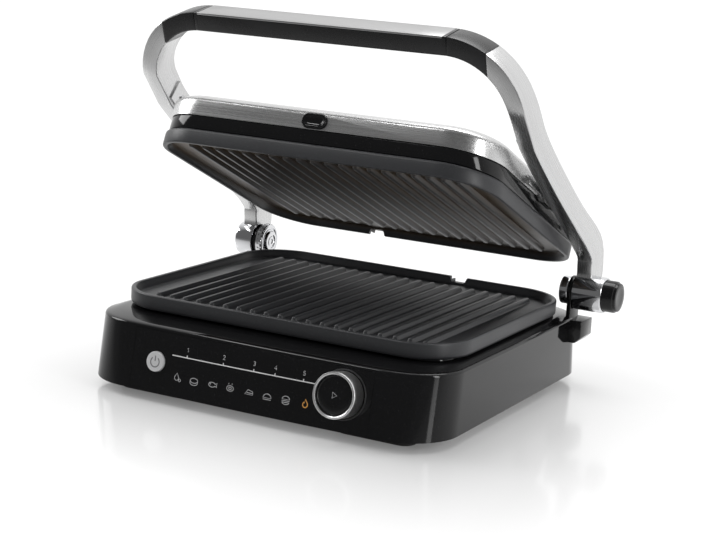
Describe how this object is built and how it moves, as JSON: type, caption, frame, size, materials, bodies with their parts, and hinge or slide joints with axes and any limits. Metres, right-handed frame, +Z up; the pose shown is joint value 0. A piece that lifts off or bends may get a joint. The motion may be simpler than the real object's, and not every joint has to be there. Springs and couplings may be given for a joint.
{
  "type": "electric indoor grill with lid",
  "caption": "Countertop electric contact grill: ribbed plates, brushed-steel lid on two hinged arms with a black handle, sloped control panel with a rotary knob.",
  "frame": {"origin": "middle of the base's outline, on the surface the feet stand on", "axes": "+Z up, +X to the user's right, -Y towards the user; the lid stands open as in use"},
  "size_m": [0.3678, 0.3296, 0.3019],
  "materials": {
    "gloss_black": "polished black housing plastic",
    "matt_black": "fine-textured black plastic",
    "rubber": "soft black foot",
    "chrome": "polished plating",
    "screw_steel": "plain zinc-plated steel",
    "silver_paint": "silver-painted plastic",
    "milky_white": "milky white plastic and ceramic",
    "circuit_board": "green circuit board with parts",
    "reflector_sheet": "bright aluminium sheet",
    "heater_steel": "dark annealed heater tube",
    "coated_plate": "cast aluminium with dark non-stick coating",
    "brushed_arm": "die-cast metal, brushed",
    "brushed_steel": "brushed stainless steel sheet"
  },
  "bodies": {
    "base": {"base_housing": "gloss_black", "bottom_cover": "matt_black", "feet": "rubber", "cover_screws": "screw_steel", "control_panel": "gloss_black", "knob_bezel": "matt_black", "encoder": "screw_steel", "power_switch": "matt_black", "light_guide": "milky_white", "control_board": "circuit_board", "power_board": "circuit_board", "cable_gland": "matt_black", "lower_reflector": "reflector_sheet", "lower_heater": "heater_steel", "lower_heater_clips": "screw_steel", "lower_sensor": "milky_white", "hinge_bracket_left": "gloss_black", "hinge_bracket_right": "gloss_black", "hinge_pin_left": "chrome", "hinge_pin_right": "chrome", "hinge_hub_left": "chrome", "hinge_washers": "chrome"},
    "knob": {"knob_ring": "chrome"},
    "start_button": {"start_button": "gloss_black"},
    "power_button": {"power_button": "silver_paint"},
    "lower_plate": {"lower_plate": "coated_plate"},
    "plate_latch": {"plate_latch": "matt_black"},
    "drip_tray": {"drip_tray": "matt_black"},
    "arm": {"left_arm": "brushed_arm", "right_arm": "brushed_arm", "left_arm_cover": "brushed_arm", "right_arm_cover": "brushed_arm", "arm_screws": "screw_steel", "lid_cable": "milky_white", "handle_grip": "matt_black", "handle_end_left": "matt_black", "handle_end_right": "matt_black", "handle_inlay": "chrome", "release_spring": "screw_steel"},
    "release_button": {"release_button": "gloss_black"},
    "lid": {"lid_cover": "brushed_steel", "lid_frame": "gloss_black", "upper_reflector": "reflector_sheet", "upper_heater": "heater_steel", "upper_heater_clips": "screw_steel", "upper_sensor": "milky_white", "lid_bracket_left": "brushed_steel", "lid_bracket_right": "brushed_steel", "lid_pivot_pins": "chrome", "latch_spring": "screw_steel"},
    "lid_latch": {"lid_latch": "gloss_black"},
    "upper_plate": {"upper_plate": "coated_plate"}
  },
  "joints": [
    {"name": "arm_hinge", "type": "hinge", "parent": "base", "child": "arm", "pos_m": [0, 0.118, 0.08], "axis": [-1, 0, 0], "range_deg": [-37, 60]},
    {"name": "lid_tilt", "type": "hinge", "parent": "arm", "child": "lid", "pos_m": [0, 0.0377, 0.1762], "axis": [-1, 0, 0], "range_deg": [-22, 13.6]},
    {"name": "knob_turn", "type": "hinge", "parent": "base", "child": "knob", "pos_m": [0.0817, -0.15307, 0.0355], "axis": [0, -0.9848, 0.1736], "continuous": true},
    {"name": "start_press", "type": "slide", "parent": "base", "child": "start_button", "axis": [0, 0.9848, -0.1736], "range_m": [0, 0.0012], "stiffness_N_per_m": 800, "springref_m": -0.002},
    {"name": "power_press", "type": "slide", "parent": "base", "child": "power_button", "axis": [0, 0.9848, -0.1736], "range_m": [0, 0.0012], "stiffness_N_per_m": 800, "springref_m": -0.002},
    {"name": "release_press", "type": "slide", "parent": "arm", "child": "release_button", "axis": [-1, 0, 0], "range_m": [0, 0.003], "stiffness_N_per_m": 800, "springref_m": -0.004},
    {"name": "latch_press", "type": "slide", "parent": "lid", "child": "lid_latch", "axis": [0, 0.9171, -0.3987], "range_m": [0, 0.003], "stiffness_N_per_m": 800, "springref_m": -0.004},
    {"name": "upper_plate_drop", "type": "slide", "parent": "lid", "child": "upper_plate", "axis": [0, -0.3987, -0.9171], "range_m": [0, 0.01]},
    {"name": "lower_plate_lift", "type": "slide", "parent": "base", "child": "lower_plate", "axis": [0, 0, 1], "range_m": [0, 0.014]},
    {"name": "plate_latch_press", "type": "slide", "parent": "base", "child": "plate_latch", "axis": [1, 0, 0], "range_m": [0, 0.002], "stiffness_N_per_m": 800, "springref_m": -0.003},
    {"name": "tray_slide", "type": "slide", "parent": "base", "child": "drip_tray", "axis": [0, 1, 0], "range_m": [0, 0.07]}
  ],
  "couplings": [
    {"joint": "lid_tilt", "follows": "arm_hinge", "ratio": -0.36486}
  ]
}
